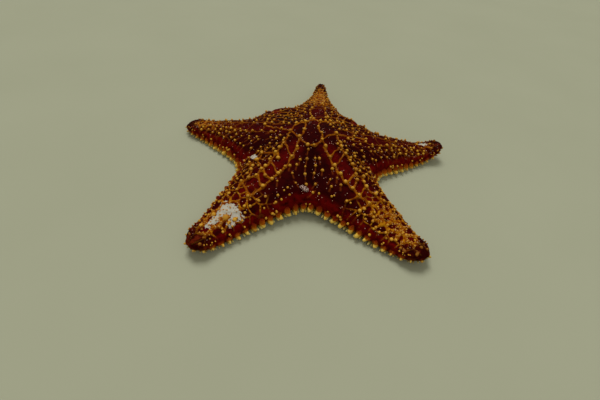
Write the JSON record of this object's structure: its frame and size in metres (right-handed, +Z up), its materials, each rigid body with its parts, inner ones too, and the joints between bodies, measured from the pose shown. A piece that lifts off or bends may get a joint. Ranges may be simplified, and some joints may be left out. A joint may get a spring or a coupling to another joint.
{
  "type": "cushion sea star",
  "caption": "Life-size still model of a red cushion sea star with five short arms, knobbly back and spiny margin, resting on its mouth side.",
  "frame": {"origin": "middle of the footprint's bounding rectangle, on the floor, just behind the centre of the disc", "axes": "+Z up out of the back; +Y along the arm that points away from the viewer; +X to the viewer's right, across the widest span of the arms"},
  "size_m": [0.2396, 0.2353, 0.0348],
  "materials": {
    "skin": "rough wet skin, dark maroon between ochre ridges and yellow-tipped knobs and spines",
    "tip_skin": "rough wet skin, dark red-brown and grainy",
    "sieve_plate": "pale matt chalky plate with fine grooves"
  },
  "bodies": {
    "root": {"disc": "skin", "arm_back": "skin", "arm_left": "skin", "arm_right": "skin", "arm_front_left": "skin", "arm_front_right": "skin", "tip_back": "tip_skin", "tip_left": "tip_skin", "tip_right": "tip_skin", "tip_front_left": "tip_skin", "tip_front_right": "tip_skin", "sieve_plate": "sieve_plate"}
  },
  "joints": []
}
